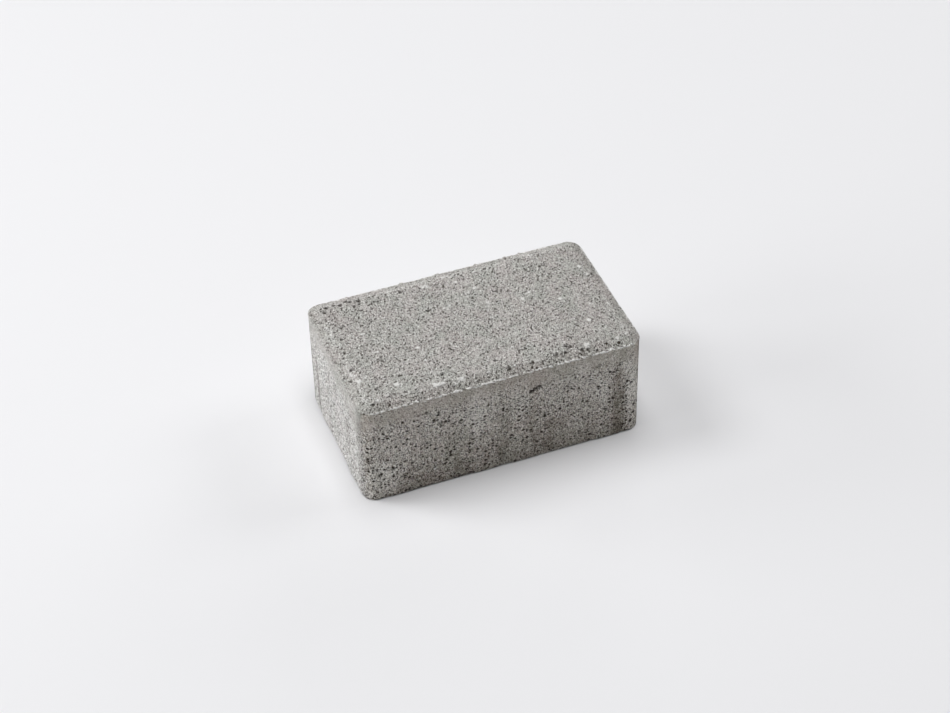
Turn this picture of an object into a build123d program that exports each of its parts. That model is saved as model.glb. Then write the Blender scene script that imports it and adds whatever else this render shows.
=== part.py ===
"""Concrete paving stone: one pressed block with a chamfered rim and spacer lugs on all four sides.

Millimetres. X runs along the length, Y across the width and Z up. The origin is the middle of the bed
face, so the stone lies on Z = 0 with its wearing face up.
"""
import os

from build123d import *

# The pressed block, without its lugs
BODY_LENGTH = 197.0
BODY_WIDTH = 117.0
HEIGHT = 80.0
CORNER_RADIUS = 9.0

# The chamfer round the wearing face
CHAMFER_WIDTH = 7.0
CHAMFER_HEIGHT = 3.0
WEARING_FACE_CORNER_RADIUS = 3.0

# One spacer lug: a low upright rib with a flat crest, soft flanks and a top end that runs out
LUG_PROUD = 1.0
LUG_CREST_WIDTH = 8.0
LUG_FLANK_WIDTH = 8.0
LUG_BELOW_ARRIS = 8.0
LUG_RUN_OUT = 10.0

# Where the lugs stand: the inner ones from the middle of a long side, the others from the block's end
LONG_SIDE_INNER_LUG_FROM_MIDDLE = 13.5
LONG_SIDE_OUTER_LUG_FROM_END = 25.5
SHORT_SIDE_LUG_FROM_END = 30.5

# How far a lug's solid reaches into the block that it is cast with
LUG_ROOT = 2.0

# Heights that follow from the sizes above
ARRIS_HEIGHT = HEIGHT - CHAMFER_HEIGHT
LUG_HEIGHT = ARRIS_HEIGHT - LUG_BELOW_ARRIS


def block_body():
    """The plain block: an upright rounded rectangle, closed by the chamfered rim."""
    arris_outline = RectangleRounded(BODY_LENGTH, BODY_WIDTH, CORNER_RADIUS)
    wearing_outline = RectangleRounded(
        BODY_LENGTH - 2 * CHAMFER_WIDTH,
        BODY_WIDTH - 2 * CHAMFER_WIDTH,
        WEARING_FACE_CORNER_RADIUS,
    )
    sides = extrude(arris_outline, ARRIS_HEIGHT)
    rim = loft([Pos(Z=ARRIS_HEIGHT) * arris_outline, Pos(Z=HEIGHT) * wearing_outline], ruled=True)
    return sides + rim


def lug_plan():
    """A lug seen from above, with its foot on Y = 0 and its crest towards +Y.

    Each flank is an S of two equal arcs, level where it leaves the side and level again at the crest.
    """
    crest_half = LUG_CREST_WIDTH / 2
    foot_half = crest_half + LUG_FLANK_WIDTH
    flank_middle = (crest_half + foot_half) / 2
    left_foot = TangentArc((-foot_half, 0), (-flank_middle, LUG_PROUD / 2), tangent=(1, 0))
    left_shoulder = TangentArc((-crest_half, LUG_PROUD), (-flank_middle, LUG_PROUD / 2), tangent=(-1, 0))
    crest = Line((-crest_half, LUG_PROUD), (crest_half, LUG_PROUD))
    right_shoulder = TangentArc((crest_half, LUG_PROUD), (flank_middle, LUG_PROUD / 2), tangent=(1, 0))
    right_foot = TangentArc((foot_half, 0), (flank_middle, LUG_PROUD / 2), tangent=(-1, 0))
    root = Polyline((foot_half, 0), (foot_half, -LUG_ROOT), (-foot_half, -LUG_ROOT), (-foot_half, 0))
    return make_face([left_foot, left_shoulder, crest, right_shoulder, right_foot, root])


def lug_profile():
    """A lug seen from the side, in the YZ plane: upright crest, then the sloping run-out to the side."""
    outline = Polyline(
        (-LUG_ROOT, 0),
        (LUG_PROUD, 0),
        (LUG_PROUD, LUG_HEIGHT - LUG_RUN_OUT),
        (0, LUG_HEIGHT),
        (-LUG_ROOT, LUG_HEIGHT),
        close=True,
    )
    return Plane.YZ * make_face(outline)


def spacer_lug():
    """One lug on the plane Y = 0, standing on Z = 0."""
    half_width = LUG_CREST_WIDTH / 2 + LUG_FLANK_WIDTH
    upright = extrude(lug_plan(), LUG_HEIGHT)
    side_shape = extrude(lug_profile(), half_width, both=True)
    return upright & side_shape


def lug_places():
    """The location of every lug: its foot on a side of the block, its crest facing outwards."""
    end = BODY_LENGTH / 2
    side = BODY_WIDTH / 2
    outer = end - LONG_SIDE_OUTER_LUG_FROM_END
    along_long_side = [-outer, -LONG_SIDE_INNER_LUG_FROM_MIDDLE, LONG_SIDE_INNER_LUG_FROM_MIDDLE, outer]
    short = side - SHORT_SIDE_LUG_FROM_END
    along_short_side = [-short, short]
    places = []
    for x in along_long_side:
        places.append(Pos(x, side, 0))
        places.append(Pos(x, -side, 0) * Rot(Z=180))
    for y in along_short_side:
        places.append(Pos(-end, y, 0) * Rot(Z=90))
        places.append(Pos(end, y, 0) * Rot(Z=-90))
    return places


def paving_stone():
    """The whole stone, one solid: the block with its lugs grown on."""
    lug = spacer_lug()
    stone = block_body()
    for place in lug_places():
        stone = stone + place * lug
    return stone


os.makedirs("parts", exist_ok=True)
export_step(paving_stone(), "parts/paving_stone.step")
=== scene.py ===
# %% [markdown]
# # A concrete paving stone
#
# The object is one block of vibration-pressed concrete with a chamfered rim and low spacer lugs on its
# sides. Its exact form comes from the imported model, which is loaded first and never changed. This script
# dresses that form: it gives the block the skin that the press leaves, mixes the concrete, and lights it.

# %% Load the fixed frame
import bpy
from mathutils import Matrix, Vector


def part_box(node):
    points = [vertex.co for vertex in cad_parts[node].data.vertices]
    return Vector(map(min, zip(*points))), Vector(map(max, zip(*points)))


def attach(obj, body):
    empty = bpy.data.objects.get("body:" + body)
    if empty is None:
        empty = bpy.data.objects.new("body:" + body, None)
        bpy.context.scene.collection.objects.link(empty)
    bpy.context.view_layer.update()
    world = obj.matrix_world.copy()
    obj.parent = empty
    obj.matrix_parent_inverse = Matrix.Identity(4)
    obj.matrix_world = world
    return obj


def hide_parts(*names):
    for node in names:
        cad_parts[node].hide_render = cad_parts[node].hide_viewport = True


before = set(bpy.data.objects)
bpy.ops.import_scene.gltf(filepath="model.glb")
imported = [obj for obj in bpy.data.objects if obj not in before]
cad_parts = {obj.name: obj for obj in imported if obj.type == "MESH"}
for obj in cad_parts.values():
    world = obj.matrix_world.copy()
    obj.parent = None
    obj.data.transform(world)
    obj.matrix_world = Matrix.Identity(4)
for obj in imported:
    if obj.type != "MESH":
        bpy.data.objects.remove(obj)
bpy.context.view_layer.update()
print("nodes:", sorted(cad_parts))

# %% Bring in the tools of the lesson
import math
import random

import bmesh
import bpy
from mathutils import Matrix, Vector, noise
from mathutils.bvhtree import BVHTree
from mathutils.kdtree import KDTree

MM = 0.001
scene = bpy.context.scene

# %% [markdown]
# ## The mould surface
#
# The steel mould gives the stone its true form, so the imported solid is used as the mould. Its mesh is loose
# triangles, and a merged copy of it answers one question quickly: where is the nearest point of the mould?

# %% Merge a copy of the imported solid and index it
BODY_HALF_LENGTH = 98.5
BODY_HALF_WIDTH = 58.5
HEIGHT = 80.0
ARRIS_HEIGHT = 77.0
CHAMFER_WIDTH = 7.0
CORNER_RADIUS = 9.0

mould = bmesh.new()
mould.from_mesh(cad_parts["paving_stone"].data)
bmesh.ops.remove_doubles(mould, verts=mould.verts, dist=1e-6)
mould_mesh = bpy.data.meshes.new("mould")
mould.to_mesh(mould_mesh)
mould_index = BVHTree.FromBMesh(mould)
print("mould:", len(mould.verts), "points,", len(mould.faces), "faces")
mould.free()

# %% [markdown]
# ## An even skin of small faces
#
# Concrete relief needs many small faces of one size. The CAD triangles are long and thin, and dividing them
# keeps that unevenness. A voxel remesh lays a fresh grid of squares over the form instead, with one square
# for about every millimetre of surface, and afterwards each point is put back on the mould.

# %% Remesh the copy and put its points back on the mould
GRID = 1.05 * MM


def remeshed(mesh, size):
    """The mesh after a voxel remesh, as a bmesh."""
    helper = bpy.data.objects.new("remesh_helper", mesh)
    scene.collection.objects.link(helper)
    modifier = helper.modifiers.new("even_grid", "REMESH")
    modifier.mode = "VOXEL"
    modifier.voxel_size = size
    depsgraph = bpy.context.evaluated_depsgraph_get()
    result = bpy.data.meshes.new_from_object(helper.evaluated_get(depsgraph))
    bm = bmesh.new()
    bm.from_mesh(result)
    bpy.data.objects.remove(helper)
    bpy.data.meshes.remove(result)
    return bm


def back_to_mould(bm):
    """Move every point to the nearest place on the mould."""
    for vert in bm.verts:
        vert.co = mould_index.find_nearest(vert.co)[0]


skin = remeshed(mould_mesh, GRID)
back_to_mould(skin)
print("even skin:", len(skin.faces), "faces")

# %% [markdown]
# Nobody sees the bed face, so its grid is thinned to save faces for the places that need them: the sharp
# arris under the chamfer with its thin burr, and single grains and holes that catch the eye.

# %% Thin the bed face
BED_TOLERANCE = 0.05
BED_MARGIN = 4.0


def plan_distance(x, y):
    """Distance in mm from the block's outline seen from above: below zero inside it."""
    qx = abs(x) - (BODY_HALF_LENGTH - CORNER_RADIUS)
    qy = abs(y) - (BODY_HALF_WIDTH - CORNER_RADIUS)
    return math.hypot(max(qx, 0), max(qy, 0)) + min(max(qx, qy), 0) - CORNER_RADIUS


def on_the_bed(vert):
    """Whether a point lies on the bed face, away from its rim."""
    return vert.co.z < BED_TOLERANCE * MM and plan_distance(vert.co.x / MM, vert.co.y / MM) < -BED_MARGIN


bmesh.ops.unsubdivide(skin, verts=[v for v in skin.verts if on_the_bed(v)], iterations=2)
print("after thinning the bed:", len(skin.faces), "faces")

# %% Listed marks
# Each row: face, place in mm, radius in mm, how far it is sunk in mm and how pale it is.
# A mark with a minus sign stands proud. On the top the place is X and Y, on the front it is X and Z.
MARKS = [
    # Pale grains and flakes on the wearing face and the front chamfer.
    ("top", 4, 43, 1.1, -0.3, 0.8),
    ("top", 13.5, 32, 1.2, -0.3, 0.9),
    ("top", 63, 0, 1.1, -0.4, 1.0),
    ("top", 90, 17, 1.0, -0.3, 1.0),
    ("top", -17, 46, 2.2, -0.2, 0.6),
    ("top", 16.5, 14.5, 1.4, -0.2, 0.5),
    ("top", 40, 9.5, 1.4, -0.3, 0.6),
    ("top", 46, 14, 1.0, -0.2, 0.6),
    ("top", -9, 21, 1.2, -0.3, 0.7),
    ("top", 72.5, -28, 1.3, -0.3, 0.8),
    ("top", -89, -28.5, 1.6, -0.4, 1.0),
    ("top", -67.5, -40.7, 1.7, -0.4, 1.0),
    ("top", -42.5, -11, 1.1, -0.3, 1.0),
    ("top", -84, -50, 1.4, -0.4, 0.8),
    ("top", 61.5, -50.5, 2.2, -0.4, 0.6),
    ("top", -44.8, -50.3, 1.6, -0.5, 0.9),
    ("top", -42.2, -50.7, 1.8, -0.5, 0.8),
    ("top", -39.4, -50.3, 1.4, -0.5, 0.9),
    ("top", -31.8, -53.4, 1.4, -0.2, 0.45),
    ("top", -28.5, -51.4, 1.5, -0.3, 0.55),
    ("top", -25.8, -50.6, 1.4, -0.4, 0.7),
    ("top", -8, -51.5, 1.0, -0.3, 0.7),
    ("top", 10, -51.5, 1.0, -0.3, 0.7),
    ("top", 82.7, -51.4, 1.2, -0.4, 0.8),
    ("top", 89.7, -49.4, 1.1, -0.4, 0.8),
    ("top", 15.2, -34.3, 0.9, -0.2, 0.7),
    ("top", -42, -25, 1.0, -0.2, 0.7),
    # Holes in the wearing face and the front chamfer, with a dashed crack near the front.
    ("top", -87.8, -52.8, 1.2, 0.7, 0.0),
    ("top", -36.6, -42.1, 1.1, 0.8, 0.0),
    ("top", -68.7, -14.8, 1.0, 0.7, 0.0),
    ("top", -91.4, -2.8, 1.0, 0.7, 0.0),
    ("top", -0.3, -42.6, 1.0, 0.7, 0.0),
    ("top", 18.2, -38.9, 0.9, 0.7, 0.0),
    ("top", 20.2, -39.1, 0.8, 0.6, 0.0),
    ("top", 23, -39, 0.9, 0.7, 0.0),
    ("top", 29.2, -38.9, 0.8, 0.6, 0.0),
    ("top", 33.6, -38.5, 0.9, 0.7, 0.0),
    ("top", 39.3, -38.7, 0.9, 0.7, 0.0),
    ("top", 48, -46.6, 1.3, 0.9, 0.0),
    ("top", 51, -48.1, 1.3, 0.9, 0.0),
    ("top", 45.5, -51.5, 1.1, 0.8, 0.0),
    ("top", 39.8, -51.3, 1.3, 1.0, 0.0),
    ("top", 6, -53.2, 1.4, 1.4, 0.0),
    ("top", 57, -53.8, 1.1, 0.8, 0.0),
    ("top", 60.5, -54.6, 1.0, 0.8, 0.0),
    ("top", 66.2, -57, 0.9, 0.7, 0.0),
    ("top", -23.5, 21.5, 1.2, 0.9, 0.0),
    ("top", -9.4, 20.9, 1.0, 0.7, 0.0),
    ("top", 10.2, 48.4, 1.0, 0.7, 0.0),
    ("top", -51.4, 43.1, 1.0, 0.7, 0.0),
    # Places along the back rim, mostly at its left, where crumbs have come away.
    ("top", -86.1, 50, 1.5, 1.0, 0.0),
    ("top", -80.5, 50.8, 1.2, 0.8, 0.0),
    ("top", -76.3, 49.4, 1.6, 1.1, 0.0),
    ("top", -71.7, 52.3, 1.5, 1.1, 0.0),
    ("top", -68.8, 50.3, 1.5, 1.1, 0.0),
    ("top", -67.8, 44.4, 1.1, 0.8, 0.0),
    ("top", -63.2, 48.8, 1.6, 1.1, 0.0),
    ("top", -34.4, 46.8, 1.2, 0.8, 0.0),
    # A bump on the back arris, then holes and pale grains near the left rim.
    ("top", -69.6, 57.6, 1.5, -0.6, 0.1),
    ("top", -88.8, 1.8, 1.1, 0.8, 0.0),
    ("top", -90.3, -16, 1.1, 0.8, 0.0),
    ("top", -83.1, 26.4, 1.1, 0.8, 0.0),
    ("top", -86.1, 15.6, 1.0, 0.7, 0.0),
    ("top", -88.4, 45.5, 1.2, 0.8, 0.0),
    ("top", -81.3, -39.6, 1.1, 0.8, 0.0),
    ("top", -91.9, 30.7, 1.2, -0.3, 0.7),
    ("top", -91.9, 22.8, 1.1, -0.3, 0.6),
    ("top", -72.4, 14.9, 1.2, -0.3, 0.9),
    ("top", -68.6, -5.4, 1.2, -0.3, 0.9),
    # Bumps on the back arris, and one pale grain near the right rim.
    ("top", -4.3, 58, 2.2, -0.8, 0.1),
    ("top", -30, 58, 1.7, -0.7, 0.1),
    ("top", 24, 58, 1.5, -0.6, 0.1),
    ("top", 46, 58, 1.6, -0.6, 0.0),
    ("top", 50, 58, 1.3, -0.5, 0.0),
    ("top", 57, 58, 1.6, -0.6, 0.0),
    ("top", 88, 27, 1.3, -0.3, 0.7),
    # A gash and single holes in the front, and one pale grain.
    ("front", 18.5, 59.8, 1.6, 1.4, 0.0),
    ("front", 20.5, 60.6, 1.7, 1.5, 0.0),
    ("front", 22.7, 61.4, 1.6, 1.3, 0.0),
    ("front", 24.8, 62, 1.3, 0.9, 0.0),
    ("front", -49.5, 14.5, 0.9, -0.2, 0.9),
    ("front", -88, 21.5, 1.4, 1.1, 0.0),
    ("front", -78.5, 25.5, 1.3, 1.0, 0.0),
    ("front", -54, 65, 1.1, 0.8, 0.0),
    ("front", -45.5, 63, 1.1, 0.8, 0.0),
]


def mark_place(mark):
    """The mark's middle on the mould, in metres."""
    face, a, b = mark[:3]
    start = Vector((a, b, HEIGHT)) if face == "top" else Vector((a, -BODY_HALF_WIDTH, b))
    return mould_index.find_nearest(start * MM)[0]


print("marks:", len(MARKS))

# %% Refine the grid along the arris and under the marks
ARRIS_REACH = 1.25
MARK_REACH = 2.2


def from_arris(point):
    """Distance in mm of a point in metres from the sharp lower edge of the chamfer."""
    x, y, z = point / MM
    return math.hypot(plan_distance(x, y), z - ARRIS_HEIGHT)


def refine(bm, wanted, cuts):
    """Divide each edge whose two ends both answer True."""
    near = {v for v in bm.verts if wanted(v.co)}
    edges = [e for e in bm.edges if e.verts[0] in near and e.verts[1] in near]
    bmesh.ops.subdivide_edges(bm, edges=edges, cuts=cuts, use_grid_fill=True)
    many_sided = [f for f in bm.faces if len(f.verts) > 4]
    bmesh.ops.triangulate(bm, faces=many_sided)


mark_index = KDTree(len(MARKS))
for number, mark in enumerate(MARKS):
    mark_index.insert(mark_place(mark), number)
mark_index.balance()

refine(skin, lambda point: from_arris(point) < ARRIS_REACH, cuts=2)
refine(skin, lambda point: mark_index.find(point)[2] < MARK_REACH * MM, cuts=1)
back_to_mould(skin)
skin.normal_update()
print("refined skin:", len(skin.faces), "faces")

# %% [markdown]
# ## What the press leaves
#
# Each surface of a pressed stone has its own texture. The sides slide along the steel and show many small
# open pores, apart from a dense band under the arris. The wearing face, packed by the press head, is closer
# and sandier. The chamfer is the hardest to fill, so it is crumbly. A few numbers per point carry this from
# the form to the colour: how open the texture is, how deep the point lies in a hole, how pale or dark it
# is, with painted light and shade laid into that tone, how strong the painted warm cast of fill light is,
# and how far it is from the arris with its burr.

# %% Smooth steps and noise helpers
def step(low, high, value):
    """0 below low, 1 above high, smooth between them."""
    t = min(max((value - low) / (high - low), 0.0), 1.0)
    return t * t * (3 - 2 * t)


def ripple(place, size, seed):
    """Noise from -1 to 1 whose bumps are about size mm wide."""
    return noise.noise(place / size + Vector((seed * 17.3, seed * 5.1, seed * 9.7)))


def layered(place, size, seed, octaves):
    """Noise with finer and finer layers on it."""
    offset = Vector((seed * 11.9, seed * 3.7, seed * 7.3))
    return noise.fractal(place / size + offset, 0.9, 2.1, octaves)


print("noise at the origin:", round(ripple(Vector((1, 2, 3)), 5, 1), 3))

# %% How open the texture is at each point
DENSE_BAND_FOOT = 66.0
RIM_LIMIT = 4.0


def faces(component):
    """How far a side faces one way, from 0 to 1, by one component of its normal."""
    return step(0.3, 0.95, component)


class Spot:
    """What is known about one point of the skin before it is pressed in or out."""

    def __init__(self, vert):
        self.place = vert.co / MM
        self.normal = vert.normal.copy()
        x, y, z = self.place
        self.inside = -plan_distance(x, y)
        self.arris = from_arris(vert.co)
        self.rim = min(max(self.arris if z > ARRIS_HEIGHT else -self.arris, -RIM_LIMIT), RIM_LIMIT)
        self.top = step(0.955, 0.99, self.normal.z)
        self.bed = step(0.5, 0.9, -self.normal.z)
        self.side = 1 - step(0.3, 0.7, abs(self.normal.z))
        self.chamfer = max(0.0, 1 - self.top - self.bed - self.side)
        self.front, self.left = faces(-self.normal.y), faces(-self.normal.x)
        self.back, self.right = faces(self.normal.y), faces(self.normal.x)
        self.near_front = step(0, 6, BODY_HALF_LENGTH - abs(x) - 2 * (BODY_HALF_WIDTH + y))
        self.crumbly = self.chamfer * (0.35 + 0.65 * self.near_front)
        self.dense_band = self.band_share() * self.side
        patches = 0.5 + 0.5 * layered(self.place, 18, 3, 3)
        self.open = self.open_side(patches) + self.open_top(patches) + 0.6 * self.crumbly + 0.9 * self.bed
        self.open = min(self.open, 1.0)
        self.cavity = self.pale = self.burr = self.painted_warm_fill = self.sunk = 0.0
        self.tone = 1.0

    def band_share(self):
        """1 in the dense band under the arris and 0 below it. It reaches lower at the left end's front."""
        foot = DENSE_BAND_FOOT + 5 * ripple(self.place, 16, 1) + 2.5 * ripple(self.place, 5, 2)
        foot -= 9 * step(5, 45, -self.place.y) * step(0.5, 0.9, -self.normal.x)
        return step(foot - 7, foot + 5, self.place.z)

    def open_side(self, patches):
        """How open a pressed side is: more at its foot, and less at the left end and on hidden sides."""
        foot = 1 - step(0, 50, self.place.z)
        share = self.side * (1 - self.dense_band) * (0.75 + 0.2 * patches + 0.15 * foot)
        return share * (1 - 0.38 * self.left) * (1 - 0.5 * max(self.back, self.right))

    def open_top(self, patches):
        """How open the wearing face is: mostly closed, with crumbly clusters along its rim."""
        rim_zone = 1 - step(1, 5, self.inside - CHAMFER_WIDTH)
        clusters = rim_zone * step(0.05, 0.45, ripple(self.place, 9, 16))
        share = 0.27 + 0.06 * patches + 0.03 * step(20, -60, self.place.x) + 0.35 * clusters
        return share * self.top


spots = {v: Spot(v) for v in skin.verts}
print("mean openness: %.2f" % (sum(s.open for s in spots.values()) / len(spots)))

# %% Unevenness and sandy relief
# Widths and depths in mm: slow waves, then the hollows between coarse lumps and between single grains,
# which are deeper where the texture is open and deepest where it is crumbly.
WAVE_WIDTH, LUMP_WIDTH, GRAIN_WIDTH = 38, 6.5, 2.2
WAVE_DEPTH = 0.10
CRUMBLE_DEPTH = 0.25
for spot in spots.values():
    place = spot.place
    crumble = CRUMBLE_DEPTH * spot.crumbly
    waves = WAVE_DEPTH + WAVE_DEPTH * layered(place, WAVE_WIDTH, 4, 2)
    grain = max(0.0, ripple(place, GRAIN_WIDTH, 5) + 0.25) * (0.03 + 0.07 * spot.open + crumble)
    lumps = max(0.0, ripple(place, LUMP_WIDTH, 6)) * (0.05 + 0.08 * spot.open + crumble)
    spot.sunk += waves + grain + lumps
deepest = max(s.sunk for s in spots.values())
print("sandy relief, deepest: %.2f mm" % deepest)

# %% Worn edges
# The upper rim of the chamfer sheds pale flakes, and the foot and the lugs' feet are rubbed.
RIM_WEAR = 0.6
FOOT_WEAR = 0.2
LUG_FOOT_WEAR = 0.7
for spot in spots.values():
    height = spot.place.z
    crumble = 0.5 + 0.5 * ripple(spot.place, 3.4, 7)
    if height > ARRIS_HEIGHT - 1:
        from_rim = math.hypot(spot.inside - CHAMFER_WIDTH, height - HEIGHT)
        spot.sunk += RIM_WEAR * crumble * (1 - step(0.5, 3.5, from_rim))
        flake = ripple(spot.place, 2.6, 14) + 0.8 * ripple(spot.place, 11, 15)
        spot.pale = max(spot.pale, 0.5 * step(0.35, 0.75, flake) * (1 - step(0.6, 1.8, from_rim)))
    from_foot = math.hypot(spot.inside, height)
    spot.sunk += (FOOT_WEAR + 0.25 * crumble) * (1 - step(0.0, 1.8, from_foot))
    spot.sunk += LUG_FOOT_WEAR * max(0.0, -spot.inside) * (1 - step(2, 14, height))
print("edges worn")

# %% Pores large enough to be modelled
PORE_SEED = 4107
PORES_TRIED = 2600
PORE_SMALLEST = 0.6
PORE_GROWTH = 0.5
draw = random.Random(PORE_SEED)
verts = list(skin.verts)
vert_index = KDTree(len(verts))
for number, vert in enumerate(verts):
    vert_index.insert(vert.co, number)
vert_index.balance()


def press_pore(centre, along, across, depth, turn):
    """Sink the points around a vertex: along and across are the pore's half sizes in mm."""
    middle = spots[centre]
    normal = middle.normal
    level = Vector((0, 0, 1)).cross(normal)
    if level.length < 0.5:
        level = Vector((1, 0, 0))
    level.normalize()
    upright = normal.cross(level)
    first = level * math.cos(turn) + upright * math.sin(turn)
    second = normal.cross(first)
    for _, number, _ in vert_index.find_range(centre.co, max(along, across) * 1.3 * MM):
        spot = spots[verts[number]]
        if spot.normal.dot(normal) < 0.3:
            continue
        offset = spot.place - middle.place
        reach = math.hypot(offset.dot(first) / along, offset.dot(second) / across)
        fill = 1 - step(0.25, 1.1, reach)
        spot.sunk += depth * fill
        spot.cavity += 0.6 * fill


def pore_chance(spot):
    """How likely a try at this point is to make a pore."""
    shares = 0.4 * spot.side + 0.3 * spot.crumbly * spot.near_front + 0.05 * spot.top + 0.2 * spot.bed
    return spot.open * shares


pores = 0
for attempt in range(PORES_TRIED):
    centre = verts[draw.randrange(len(verts))]
    size, stretch, turn, chance = draw.random(), draw.random(), draw.uniform(-0.45, 0.45), draw.random()
    if chance > pore_chance(spots[centre]):
        continue
    half = PORE_SMALLEST + PORE_GROWTH * size ** 3
    long_half = half * (1.15 + 0.9 * stretch)
    press_pore(centre, long_half, half, 0.45 + 0.5 * half * size, turn)
    pores += 1
print("pores pressed:", pores)

# %% The marks
# Holes have sloping walls and a small floor. Grains that stand proud are flatter and steeper.
for mark in MARKS:
    radius, depth, pale = mark[3:]
    flat_part = 0.5 if depth > 0 else 0.8
    for _, number, distance in vert_index.find_range(mark_place(mark), radius * 1.4 * MM):
        spot = spots[verts[number]]
        wobble = 1 + 0.7 * ripple(spot.place, 1.3, 8)
        fill = 1 - step(flat_part, 1.15, distance / MM / radius * wobble)
        spot.sunk += depth * fill
        if depth > 0:
            spot.cavity += fill
        spot.pale = max(spot.pale, pale * fill)
print("marks pressed")

# %% The burr along the arris
# Paste squeezed out between the press head and the mould wall stands up as a thin broken fin. It shows
# most along the front. Each side's share is how much of it has survived.
BURR_FOOT = 0.2
BURR_HEIGHT = 0.6
BURR_HALF_WIDTH = 0.6
BURR_SHARE = {"front": 1.0, "back": 0.7, "left": 0.15, "right": 0.5}
for spot in spots.values():
    if spot.arris > RIM_LIMIT:
        continue
    x, y, z = spot.place
    if abs(y) > BODY_HALF_WIDTH - CHAMFER_WIDTH - 1:
        along_x = step(-5.0, 0.0, BODY_HALF_LENGTH - CORNER_RADIUS - abs(x))
        spot.burr = along_x * BURR_SHARE["front" if y < 0 else "back"]
    else:
        along_y = step(-1.0, 3.0, BODY_HALF_WIDTH - CORNER_RADIUS - abs(y))
        spot.burr = along_y * BURR_SHARE["left" if x < 0 else "right"]
    beads = 0.5 + 0.5 * ripple(spot.place, 1.9, 9) + 0.45 * ripple(spot.place, 7.0, 10)
    profile = 1 - step(0.1, BURR_HALF_WIDTH * 1.7, spot.arris)
    spot.sunk -= (BURR_FOOT + BURR_HEIGHT * min(1.2, max(0.0, beads)) * spot.burr) * profile
print("burr raised")

# %% Lighter and darker places, with painted light and shade
# The pressed sides are richer in paste and lighter than the wearing face. Each side's factor also paints in
# light: the front and the left end are made paler than the back and the right.
SIDE_TONE_AND_PAINTED_LIGHT = {"front": 1.44, "back": 1.14, "left": 1.355, "right": 1.08}
# The front and right chamfers are darkened with painted shade.
CHAMFER_TONE_AND_PAINTED_SHADE = {"front": 0.91, "back": 1.02, "left": 1.01, "right": 0.87}
TOP_TONE = 0.985
# Painted shade that darkens the front towards its foot.
PAINTED_FOOT_SHADE = 0.44
BAND_SHADE = 0.22
TINY = 1e-6
# Each row: middle X and Z on the front, half sizes in mm, and how much lighter or darker it is. Many rows
# are painted light and shade: the lugs' left flanks lit from the left, the shadows beside their right flanks
# and the lit lower left corner. The rest are lighter and darker patches.
FRONT_TONES_AND_PAINTED_LIGHT = [
    (81.2, 24, 5.7, 42, 0.59),
    (79, 56, 4, 11, 0.78),
    (75, 49, 3, 6, 0.88),
    (86.5, 18, 5, 13, 1.25),
    (90, 50, 6, 24, 1.28),
    (-85, 17, 14, 17, 1.6),
    (-94, 4, 3, 5, 1.6),
    (-74, 26, 6, 8, 1.15),
    (-86, 61, 5, 5, 0.88),
    (-50, 42, 4, 7, 0.88),
    (-34, 14, 4, 9, 0.74),
    (-28, 29, 3, 9, 0.88),
    (37, 25, 8, 10, 0.83),
    (17, 36, 6, 11, 0.84),
    (-70, 39, 5, 9, 1.2),
    (-38, 36, 10, 18, 0.93),
    (-34, 68, 6, 5, 0.92),
    (2, 73, 6, 4, 0.9),
    (-19, 49, 6, 24, 1.32),
    (-22, 54, 4, 8, 1.08),
    (-21, 12, 3.5, 9, 1.2),
    (-1, 30, 5.5, 34, 0.84),
    (-3, 13, 4, 7, 0.85),
    (12, 58, 6, 10, 1.1),
    (9, 44, 4, 15, 1.12),
    (27, 56, 4, 6, 0.92),
    (17, 16, 6, 7, 0.88),
    (21, 38, 5, 30, 0.86),
    (31, 9, 5, 8, 0.67),
    (31, 26, 4, 7, 0.78),
    (51, 20, 6, 12, 1.14),
    (56, 34, 4, 5, 0.88),
    (57, 65, 6, 7, 1.2),
    (69, 42, 6, 14, 1.32),
    (69.5, 13, 5, 12, 1.2),
    (93, 20, 6, 34, 1.55),
    (-29, 4, 5, 6, 0.8),
    (-60, 4, 6, 6, 0.8),
]
# On the left and right ends the first number is Y, and on the top the two are X and Y. On the left end the
# shadow beside a lug and the darker rounded corners are painted shade, and on the right end the one row is
# painted shade near the front corner.
LEFT_TONES_AND_PAINTED_SHADE = [
    (37, 28, 5, 32, 0.64),
    (35, 13, 4, 9, 0.78),
    (25, 50, 7, 24, 1.08),
    (-2, 53, 4, 7, 0.7),
    (-30, 38, 5, 17, 0.78),
    (10, 62, 14, 6, 1.08),
    (-53, 34, 8, 90, 0.70),
    (56, 34, 8, 90, 0.62),
]
RIGHT_PAINTED_SHADE = [
    (-54, 34, 9, 90, 0.54),
]
TOP_TONES = [
    (-93, 0, 6, 70, 1.1),
    (0, 52, 110, 5, 1.08),
    (0, -52, 110, 4, 0.93),
    (85, 0, 50, 70, 0.95),
]


def patch_tone_and_light(rows, a, b, place):
    """The product of a face's light and dark patches at one of its points, some of them painted light and
    shade.
    """
    tone = 1.0
    wander = 0.3 * ripple(place, 4.0, 11) + 0.15 * ripple(place, 1.7, 12)
    for middle_a, middle_b, half_a, half_b, factor in rows:
        reach = math.hypot((a - middle_a) / half_a, (b - middle_b) / half_b) + wander
        tone *= 1 + (factor - 1) * (1 - step(0.55, 1.15, reach))
    return tone


def chamfer_tone_and_shade(spot):
    """The chamfer's tone: each side's own, with painted shade on the front and right chamfers, and a little
    lighter towards the wearing face.
    """
    x, y, z = spot.place
    nearest = "front" if y < 0 else "back"
    if BODY_HALF_LENGTH - abs(x) < BODY_HALF_WIDTH - abs(y):
        nearest = "left" if x < 0 else "right"
    return CHAMFER_TONE_AND_PAINTED_SHADE[nearest] * (0.93 + 0.14 * step(0.4, 1.0, spot.inside / CHAMFER_WIDTH))


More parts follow.
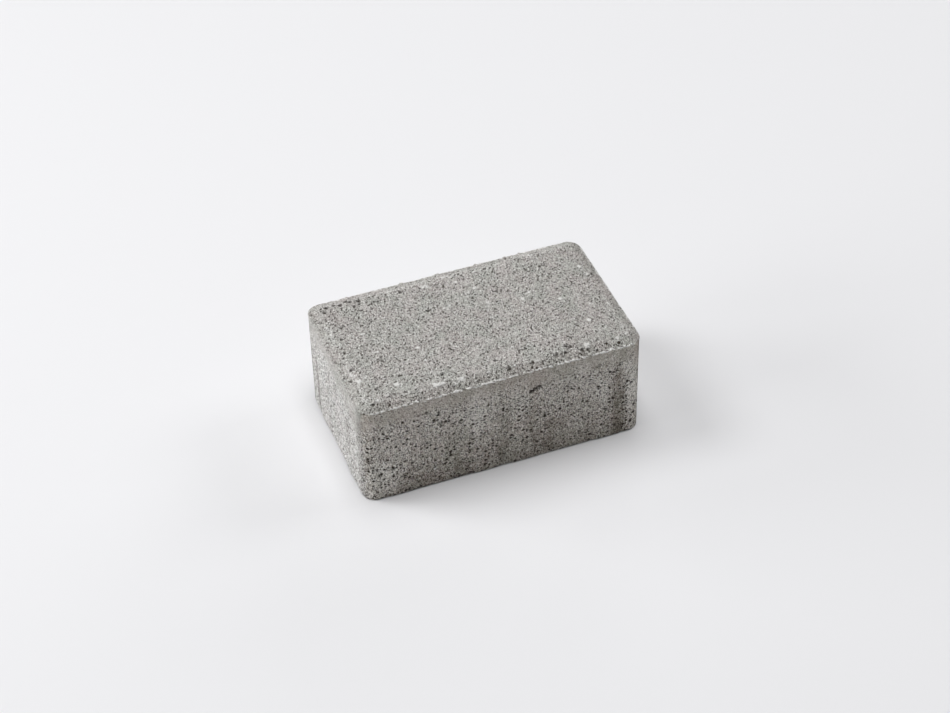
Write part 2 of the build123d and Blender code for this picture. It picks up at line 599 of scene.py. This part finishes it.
def plain_tone_and_light(spot):
    """The tone of the face that a spot lies on, with each side's painted light and the chamfers' painted
    shade, mixed where faces meet.
    """
    shares = {"front": spot.front, "back": spot.back, "left": spot.left, "right": spot.right}
    side_tone_and_painted_light = sum(SIDE_TONE_AND_PAINTED_LIGHT[name] * share for name, share in shares.items())
    side_tone_and_painted_light /= sum(shares.values()) + TINY
    return TOP_TONE * spot.top + chamfer_tone_and_shade(spot) * spot.chamfer + side_tone_and_painted_light * spot.side + spot.bed


for spot in spots.values():
    x, y, z = spot.place
    foot = 1 - step(-12, 62, z)
    # A painted warm cast of fill light lies on the front, and faintly on the front chamfer.
    spot.painted_warm_fill = spot.side * spot.front * (0.75 + 0.05 * foot) + 0.1 * spot.chamfer * spot.near_front
    spot.tone = plain_tone_and_light(spot)
    # Painted shade darkens the front towards its foot.
    spot.tone *= 1 - PAINTED_FOOT_SHADE * foot * spot.front * spot.side - BAND_SHADE * spot.dense_band
    if spot.top > 0.5:
        spot.tone *= patch_tone_and_light(TOP_TONES, x, y, spot.place)
    # On the sides the patch tables add painted light and shade among lighter and darker places.
    if spot.side > 0.5:
        if spot.normal.y < -0.5:
            spot.tone *= patch_tone_and_light(FRONT_TONES_AND_PAINTED_LIGHT, x, z, spot.place)
        spot.tone *= 1 + (patch_tone_and_light(LEFT_TONES_AND_PAINTED_SHADE, y, z, spot.place) - 1) * spot.left
        spot.tone *= 1 + (patch_tone_and_light(RIGHT_PAINTED_SHADE, y, z, spot.place) - 1) * spot.right
    blotch = layered(spot.place, 6.0, 13, 2)
    spot.tone *= 1 + (0.02 + 0.09 * spot.side + 0.06 * spot.chamfer) * blotch
print("tones laid")

# %% [markdown]
# ## Press the relief into the skin
#
# Every point moves along its own normal. Whatever would stand out of the imported solid's box is brought back
# to it, so that the visible stone is no larger than the real one.

# %% Move the points and keep them in the box
low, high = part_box("paving_stone")
for vert, spot in spots.items():
    vert.co = vert.co - spot.normal * spot.sunk * MM
    for axis in range(3):
        vert.co[axis] = min(max(vert.co[axis], low[axis]), high[axis])
skin.normal_update()
print("loose edges:", sum(1 for e in skin.edges if len(e.link_faces) != 2))

# %% Write the mesh with its numbers per point
stone_mesh = bpy.data.meshes.new("concrete_stone")
skin.verts.index_update()
carried = {"open": [], "cavity": [], "pale": [], "tone": [], "rim": [], "burr": [], "painted_warm_fill": []}
for vert in skin.verts:
    spot = spots[vert]
    spot.cavity = min(spot.cavity, 1.0)
    for name, values in carried.items():
        values.append(getattr(spot, name))
skin.to_mesh(stone_mesh)
skin.free()
for name, values in carried.items():
    attribute = stone_mesh.attributes.new(name, "FLOAT", "POINT")
    attribute.data.foreach_set("value", values)
stone_mesh.shade_smooth()
stone = bpy.data.objects.new("concrete_stone", stone_mesh)
scene.collection.objects.link(stone)
triangles = sum(len(p.vertices) - 2 for p in stone_mesh.polygons)
print("stone:", triangles, "triangles")

# %% [markdown]
# ## Mixing the concrete
#
# Dry grey concrete is cement paste around sand. Close up it is grains of a millimetre or so, each a little
# lighter or darker than the paste, with pores between them that are painted dark as shade. Cell noise
# (Voronoi) gives every grain its own tone. Small pores are the low places of a soft noise, and the larger
# pits sit one to a cell. Both are drawn out level, as the press leaves them, and the torn specks of the
# wearing face lie aslant.

# %% Node helpers
def add_node(tree, kind, inputs=None, **settings):
    """A new node of a kind, with its settings and its inputs linked or filled in."""
    node = tree.nodes.new(kind)
    for name, value in settings.items():
        setattr(node, name, value)
    for name, value in (inputs or {}).items():
        if isinstance(value, bpy.types.NodeSocket):
            tree.links.new(value, node.inputs[name])
        else:
            node.inputs[name].default_value = value
    return node


def calc(tree, operation, a, b=0.0, c=0.0, clamp=False):
    """A Math node's result."""
    node = add_node(tree, "ShaderNodeMath", {0: a, 1: b, 2: c}, operation=operation, use_clamp=clamp)
    return node.outputs[0]


def chain(tree, operation, first, *others):
    """A row of values joined by one Math operation."""
    for other in others:
        first = calc(tree, operation, first, other)
    return first


def remap(tree, value, from_low, from_high, to_low, to_high, smooth=False):
    """A Map Range node's result."""
    kind = "SMOOTHSTEP" if smooth else "LINEAR"
    sockets = {0: value, 1: from_low, 2: from_high, 3: to_low, 4: to_high}
    return add_node(tree, "ShaderNodeMapRange", sockets, interpolation_type=kind).outputs[0]


def mix_colour(tree, factor, a, b, blend="MIX"):
    """A colour Mix node's result."""
    sockets = {0: factor, 6: a, 7: b}
    node = add_node(tree, "ShaderNodeMix", sockets, data_type="RGBA", blend_type=blend, clamp_factor=True)
    return node.outputs[2]


def new_group(name, inputs, outputs):
    """An empty shader group with named sockets: each is a (name, type, start value) row."""
    group = bpy.data.node_groups.new(name, "ShaderNodeTree")
    for label, kind, value in inputs:
        socket = group.interface.new_socket(label, in_out="INPUT", socket_type=kind)
        if value is not None:
            socket.default_value = value
    for label, kind in outputs:
        group.interface.new_socket(label, in_out="OUTPUT", socket_type=kind)
    return group, group.nodes.new("NodeGroupInput").outputs, group.nodes.new("NodeGroupOutput").inputs


print("node helpers ready")

# %% [markdown]
# Grains come in four sizes, and pores and pits in three. Each kind of layer is a node group, built once and
# placed with its own size.

# %% Group: a layer of grains
FLOAT, VECTOR = "NodeSocketFloat", "NodeSocketVector"
grains, given, result = new_group(
    "grain_layer",
    [("Place", VECTOR, None), ("Grain Size", FLOAT, 1.0), ("Offset", FLOAT, 0.0)],
    [("Tone", FLOAT), ("Seam", FLOAT)],
)
density = calc(grains, "DIVIDE", 1.0, given["Grain Size"])
shifted = add_node(grains, "ShaderNodeVectorMath", {0: given["Place"], 1: given["Offset"]}, operation="ADD")
cells = add_node(
    grains, "ShaderNodeTexVoronoi", {"Vector": shifted.outputs[0], "Scale": density, "Randomness": 1.0}
)
own_tone = add_node(grains, "ShaderNodeSeparateColor", {0: cells.outputs["Color"]}).outputs[0]
grains.links.new(own_tone, result["Tone"])
grains.links.new(cells.outputs["Distance"], result["Seam"])
print("group:", grains.name)

# %% Group: a layer of pores
pores_group, given, result = new_group(
    "pore_layer",
    [("Place", VECTOR, None), ("Pore Size", FLOAT, 1.5), ("Share", FLOAT, 0.3), ("Edge", FLOAT, 0.03)],
    [("Hole", FLOAT), ("Lip", FLOAT)],
)
density = calc(pores_group, "DIVIDE", 1.0, given["Pore Size"])
noise_inputs = {"Vector": given["Place"], "Scale": density, "Detail": 0.0}
field = add_node(pores_group, "ShaderNodeTexNoise", noise_inputs).outputs[0]
limit = remap(pores_group, given["Share"], 0.0, 1.0, 0.2, 0.5)
edge = calc(pores_group, "SUBTRACT", limit, field)
hole = remap(pores_group, edge, 0.0, given["Edge"], 0.0, 1.0, smooth=True)
nearing = remap(pores_group, edge, -0.09, 0.0, 0.0, 1.0)
lip = calc(pores_group, "MULTIPLY", nearing, remap(pores_group, edge, 0.0, 0.02, 1.0, 0.0))
pores_group.links.new(hole, result["Hole"])
pores_group.links.new(lip, result["Lip"])
print("group:", pores_group.name)

# %% Group: a layer of single round pits
# One pit at most sits in each cell. Its size comes from the cell's own random number.
pits_group, given, result = new_group(
    "pit_layer",
    [("Place", VECTOR, None), ("Cell Size", FLOAT, 3.0), ("Share", FLOAT, 0.5), ("Largest", FLOAT, 0.33)],
    [("Hole", FLOAT), ("Lip", FLOAT)],
)
density = calc(pits_group, "DIVIDE", 1.0, given["Cell Size"])
cells = add_node(pits_group, "ShaderNodeTexVoronoi", {"Vector": given["Place"], "Scale": density})
chance = add_node(pits_group, "ShaderNodeSeparateColor", {0: cells.outputs["Color"]}).outputs[0]
rarity = calc(pits_group, "SUBTRACT", 1.0, given["Share"])
radius = remap(pits_group, chance, rarity, 1.0, 0.0, given["Largest"])
edge = calc(pits_group, "SUBTRACT", radius, cells.outputs["Distance"])
hole = remap(pits_group, edge, 0.0, 0.05, 0.0, 1.0, smooth=True)
nearing = remap(pits_group, edge, -0.16, 0.0, 0.0, 1.0)
outside = remap(pits_group, edge, 0.0, 0.02, 1.0, 0.0)
large_enough = remap(pits_group, radius, 0.08, 0.16, 0.0, 1.0)
lip = chain(pits_group, "MULTIPLY", nearing, outside, large_enough)
pits_group.links.new(hole, result["Hole"])
pits_group.links.new(lip, result["Lip"])
print("group:", pits_group.name)

# %% The concrete: places and carried numbers
# Places are in mm, with the grains a quarter shorter along X than along Y and Z.
PLACE_SCALE = (1350, 1000, 1000)
LEVEL_STRETCH = (0.8, 0.9, 1.35)
TORN_STRETCH = (2.0, 0.9, 1.0)
TORN_TURN = (0.0, 0.0, math.radians(40))

concrete = bpy.data.materials.new("pressed_concrete")
concrete.use_nodes = True
tree = concrete.node_tree
shader = tree.nodes["Principled BSDF"]
place = add_node(tree, "ShaderNodeTexCoord").outputs["Object"]
to_mm = add_node(tree, "ShaderNodeMapping", {"Vector": place, "Scale": PLACE_SCALE}).outputs[0]


def nudged(start, scale, amount):
    """A place moved a little by colour noise, so that what is drawn there has an uneven outline."""
    drift = add_node(tree, "ShaderNodeTexNoise", {"Vector": to_mm, "Scale": scale, "Detail": 1.0})
    sockets = {0: drift.outputs["Color"], 1: (amount, amount, amount), 2: start}
    return add_node(tree, "ShaderNodeVectorMath", sockets, operation="MULTIPLY_ADD").outputs[0]


def carried_number(name):
    """One of the mesh's numbers per point."""
    return add_node(tree, "ShaderNodeAttribute", attribute_name=name).outputs["Fac"]


bent = nudged(to_mm, 0.9, 0.9)
squeezed = add_node(tree, "ShaderNodeMapping", {"Vector": bent, "Scale": LEVEL_STRETCH}).outputs[0]
ragged = nudged(squeezed, 2.0, 1.0)
torn_inputs = {"Vector": bent, "Rotation": TORN_TURN, "Scale": TORN_STRETCH}
torn = add_node(tree, "ShaderNodeMapping", torn_inputs, vector_type="TEXTURE").outputs[0]
open_here, cavity, pale, tone = (carried_number(name) for name in ("open", "cavity", "pale", "tone"))
rim, burr_here, painted_warm_fill = (carried_number(name) for name in ("rim", "burr", "painted_warm_fill"))
print("material:", concrete.name)

# %% The concrete: grains and pores
# Every size is in mm. The offsets keep layers of grains from lining up with each other.
def place_group(group, **values):
    """An instance of a group in the concrete, with its named inputs set."""
    named = {name.replace("_", " "): value for name, value in values.items()}
    return add_node(tree, "ShaderNodeGroup", named, node_tree=group).outputs


sand = place_group(grains, Place=bent, Grain_Size=0.75, Offset=0.0)
dust = place_group(grains, Place=to_mm, Grain_Size=0.5, Offset=13.1)
grit = place_group(grains, Place=bent, Grain_Size=2.2, Offset=31.7)
relief = place_group(grains, Place=bent, Grain_Size=1.8, Offset=47.3)
small_share = remap(tree, open_here, 0.0, 0.3, 0.08, 0.28)
large_share = remap(tree, open_here, 0.35, 1.0, 0.0, 0.85)
specks_share = remap(tree, open_here, 0.12, 0.36, 0.0, 1.0)
small = place_group(pores_group, Place=squeezed, Pore_Size=1.5, Share=small_share, Edge=0.03)
large = place_group(pits_group, Place=ragged, Cell_Size=2.9, Share=large_share, Largest=0.5)
specks = place_group(pits_group, Place=torn, Cell_Size=1.8, Share=specks_share, Largest=0.45)
lip = chain(tree, "MAXIMUM", small["Lip"], large["Lip"], specks["Lip"])
shallow_specks = calc(tree, "MULTIPLY", specks["Hole"], 0.75)
modelled_holes = calc(tree, "MULTIPLY", cavity, 0.8)
holes = chain(tree, "MAXIMUM", small["Hole"], large["Hole"], shallow_specks, modelled_holes)
print("grain and pore layers placed")

# %% The concrete: how light each grain is
# Levels multiply, and the open faces show them more strongly than the closed ones. The crevice factor
# paints shade into the seams between grains, and the carried tone brings each face's painted light and shade.
# The limit stops the palest grains at about white.
SAND_LEVELS = ((0.0, 0.25), (0.07, 0.4), (0.14, 0.75), (0.3, 0.95), (0.6, 1.04), (0.9, 1.1), (1.0, 1.22))
LEVEL_LIMIT = 1.76
sand_ramp = add_node(tree, "ShaderNodeValToRGB", {"Fac": sand["Tone"]})
ramp = sand_ramp.color_ramp.elements
for position, _ in SAND_LEVELS[1:-1]:
    ramp.new(position)
for element, (_, level) in zip(ramp, SAND_LEVELS):
    element.color = (level, level, level, 1)
sand_level = sand_ramp.outputs[0]
dust_level = remap(tree, dust["Tone"], 0.0, 1.0, 0.5, 1.5)
grit_level = remap(tree, grit["Tone"], 0.0, 1.0, 0.95, 1.05)
paste_inputs = {"Vector": to_mm, "Scale": 1.9, "Detail": 3.0, "Roughness": 0.7}
paste_noise = add_node(tree, "ShaderNodeTexNoise", paste_inputs).outputs[0]
paste_level = remap(tree, paste_noise, 0.25, 0.75, 0.8, 1.2)
lip_level = remap(tree, lip, 0.0, 1.0, 1.0, 1.25)
# Painted shade in the seams between the raised grains.
crevice_shade = remap(tree, relief["Seam"], 0.2, 0.65, 1.09, 0.86)
levels = chain(tree, "MULTIPLY", grit_level, paste_level, dust_level, sand_level, lip_level, crevice_shade)
contrast = remap(tree, open_here, 0.0, 1.0, 0.73, 1.45)
levels = calc(tree, "MULTIPLY", calc(tree, "POWER", levels, contrast), tone)
levels = calc(tree, "MINIMUM", levels, LEVEL_LIMIT)
print("grain levels:", len(SAND_LEVELS))

# %% The concrete: colour
# The palest grains are neutral, and the paste is warm with a faint pink or green cast here and there. A
# painted warm cast of fill light lies on the front, most strongly on its darker grains.
PASTE = (0.585, 0.560, 0.525, 1)
NEUTRAL = (0.562, 0.560, 0.555, 1)
PINK_CAST = (1.03, 0.988, 0.995, 1)
GREEN_CAST = (0.975, 1.01, 0.985, 1)
PAINTED_WARM_FILL = (1.08, 1.0, 0.89, 1)
PALE_GRAIN = (0.86, 0.85, 0.83, 1)
# Painted shade for the holes and for the strip under the burr.
PAINTED_SHADE = (0.060, 0.049, 0.037, 1)
BURR = (0.98, 0.97, 0.95, 1)
mottle = add_node(tree, "ShaderNodeTexNoise", {"Vector": to_mm, "Scale": 0.06, "Detail": 2.0}).outputs[0]
cast = mix_colour(tree, remap(tree, mottle, 0.35, 0.65, 0.0, 1.0), PINK_CAST, GREEN_CAST)
colour = mix_colour(tree, 1.0, PASTE, cast, "MULTIPLY")
colour = mix_colour(tree, remap(tree, levels, 0.6, 1.6, 0.0, 0.9), colour, NEUTRAL)
# The painted warm cast of fill light, strongest on the darker grains.
warm_fill_share = calc(tree, "MULTIPLY", painted_warm_fill, remap(tree, levels, 0.4, 1.5, 1.25, 0.4))
colour = mix_colour(tree, warm_fill_share, colour, mix_colour(tree, 1.0, colour, PAINTED_WARM_FILL, "MULTIPLY"))
colour = mix_colour(tree, 1.0, colour, levels, "MULTIPLY")
colour = mix_colour(tree, calc(tree, "MULTIPLY", pale, 1.4, clamp=True), colour, PALE_GRAIN)
# Holes are painted dark: painted shade in the pores and pits, with the fines they hold.
hole_shade_share = calc(tree, "MULTIPLY", holes, calc(tree, "SUBTRACT", 1.0, pale))
colour = mix_colour(tree, hole_shade_share, colour, PAINTED_SHADE)
print("paste colour:", PASTE[:3])

# %% The concrete: the burr's broken line
# The line wanders by half a millimetre or so, and breaks where the bead noise is low. A faint painted shadow
# lies under it.
wander = add_node(tree, "ShaderNodeTexNoise", {"Vector": to_mm, "Scale": 0.3, "Detail": 2.0}).outputs[0]
off_line = calc(tree, "ABSOLUTE", calc(tree, "ADD", rim, remap(tree, wander, 0.3, 0.7, -1.0, 0.9)))
beads = add_node(tree, "ShaderNodeTexNoise", {"Vector": to_mm, "Scale": 0.45, "Detail": 2.0}).outputs[0]
width = remap(tree, beads, 0.36, 0.6, 0.0, 1.25)
line = remap(tree, calc(tree, "SUBTRACT", width, off_line), -0.1, 0.4, 0.0, 0.92, smooth=True)
line = calc(tree, "MULTIPLY", line, burr_here, clamp=True)
# Painted shadow under the burr.
shadow_strip_foot = remap(tree, rim, -1.4, -0.6, 0.0, 1.0)
shadow_strip_head = remap(tree, rim, -0.6, -0.3, 1.0, 0.0)
colour = mix_colour(tree, chain(tree, "MULTIPLY", shadow_strip_foot, shadow_strip_head, 0.25), colour, PAINTED_SHADE)
colour = mix_colour(tree, line, colour, BURR)
tree.links.new(colour, shader.inputs["Base Color"])
print("burr line drawn")

# %% The concrete: bumps and finish
BUMP_DISTANCE = 1.4
grain_height = calc(tree, "MULTIPLY", remap(tree, sand["Seam"], 0.0, 0.7, 1.0, 0.0), 0.2)
paste_height = calc(tree, "MULTIPLY", paste_noise, 0.3)
dome_height = calc(tree, "MULTIPLY", calc(tree, "POWER", relief["Seam"], 2.0), -0.9)
height = chain(tree, "ADD", grain_height, paste_height, dome_height)
height = calc(tree, "SUBTRACT", height, holes)
bump_inputs = {"Height": height, "Strength": 1.0, "Distance": BUMP_DISTANCE * MM}
bump = add_node(tree, "ShaderNodeBump", bump_inputs)
tree.links.new(bump.outputs[0], shader.inputs["Normal"])
shader.inputs["Roughness"].default_value = 0.92
shader.inputs["Specular IOR Level"].default_value = 0.25
stone_mesh.materials.append(concrete)
print("concrete finished")

# %% Tell the frame what the stone is
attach(stone, "root")
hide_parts("paving_stone")
print("the dressed stone stands for the packed one")

# %% [markdown]
# ## Floor, light and camera
#
# The stone lies on a plain pale floor. The light is soft and comes mostly from behind and from the left, so
# the left end is bright, the front is in soft shade and the shadow on the right fades without an edge. Large
# round lamps give that: the larger a lamp is for its distance, the softer the shadow.

# %% The floor
FLOOR_HALF_SIZE = 6.0
FLOOR_COLOUR = (0.828, 0.828, 0.844, 1)
floor_mesh = bpy.data.meshes.new("floor")
floor_bm = bmesh.new()
bmesh.ops.create_grid(floor_bm, x_segments=1, y_segments=1, size=FLOOR_HALF_SIZE)
floor_bm.to_mesh(floor_mesh)
floor_bm.free()
floor = bpy.data.objects.new("floor", floor_mesh)
scene.collection.objects.link(floor)
backdrop = bpy.data.materials.new("pale_backdrop")
backdrop.use_nodes = True
backdrop_shader = backdrop.node_tree.nodes["Principled BSDF"]
backdrop_shader.inputs["Base Color"].default_value = FLOOR_COLOUR
backdrop_shader.inputs["Roughness"].default_value = 1.0
backdrop_shader.inputs["Specular IOR Level"].default_value = 0.0
floor_mesh.materials.append(backdrop)
print("floor laid")

# %% The lamps
LAMP_DISTANCE = 3.3
LAMP_DIAMETER = 1.35
# Each row: name, turn from +X towards +Y in degrees, height angle in degrees, watts.
LAMPS = [
    ("back_left_high", 150, 50, 33.1),
    ("back_left_low", 150, 15, 32.0),
    ("left_low", 180, 15, 27.0),
    ("overhead", 0, 90, 23.1),
    ("front_high", 270, 76, 22.8),
    ("right_middle", 0, 38, 18.8),
    ("back_right_low", 30, 15, 13.8),
    ("back_high", 90, 76, 12.6),
    ("back_low", 60, 15, 12.3),
]
for name, turn, rise, watts in LAMPS:
    light = bpy.data.lights.new("lamp_" + name, "AREA")
    light.shape = "DISK"
    light.size = LAMP_DIAMETER
    light.energy = watts
    lamp = bpy.data.objects.new("lamp_" + name, light)
    flat = math.cos(math.radians(rise))
    direction = Vector((
        flat * math.cos(math.radians(turn)),
        flat * math.sin(math.radians(turn)),
        math.sin(math.radians(rise)),
    ))
    lamp.location = direction * LAMP_DISTANCE
    lamp.rotation_euler = direction.to_track_quat("Z", "Y").to_euler()
    lamp.visible_camera = False
    scene.collection.objects.link(lamp)
print("lamps:", len(LAMPS))

# %% The world behind the floor
# The camera sees the floor's own pale grey past its edge, and the sky sheds no light.
SEEN_COLOUR = (0.86, 0.865, 0.87, 1)
BLACK = (0, 0, 0, 1)
world = bpy.data.worlds.new("studio")
world.use_nodes = True
scene.world = world
sky = world.node_tree.nodes["Background"]
sky.inputs["Strength"].default_value = 1.0
seen = add_node(world.node_tree, "ShaderNodeLightPath").outputs["Is Camera Ray"]
sky_colour = mix_colour(world.node_tree, seen, BLACK, SEEN_COLOUR)
world.node_tree.links.new(sky_colour, sky.inputs["Color"])
scene.view_settings.view_transform = "Standard"
print("world ready")

# %% The camera
# Turn, tilt and roll of the line of sight in degrees, then the point it is aimed at, the distance to that
# point and the focal length, all in mm.
TURN, TILT, ROLL = -19.849, 41.151, -1.482
AIM = Vector((9.368, 22.374, 27.721))
RANGE = 1615.99
LENS = 89.19

turn, tilt, roll = (math.radians(a) for a in (TURN, TILT, ROLL))
back = Vector((math.sin(turn) * math.cos(tilt), -math.cos(turn) * math.cos(tilt), math.sin(tilt)))
level = Vector((0, 0, 1)).cross(back).normalized()
raised = back.cross(level)
right = level * math.cos(roll) + raised * math.sin(roll)
up = raised * math.cos(roll) - level * math.sin(roll)
axes = Matrix((right, up, back)).transposed().to_4x4()
camera = bpy.data.objects.new("camera", bpy.data.cameras.new("camera"))
camera.matrix_world = Matrix.Translation((AIM + back * RANGE) * MM) @ axes
camera.data.sensor_width = 36
camera.data.lens = LENS
camera.data.clip_end = 50
scene.collection.objects.link(camera)
scene.camera = camera
print("camera at", [round(v, 3) for v in camera.matrix_world.translation])
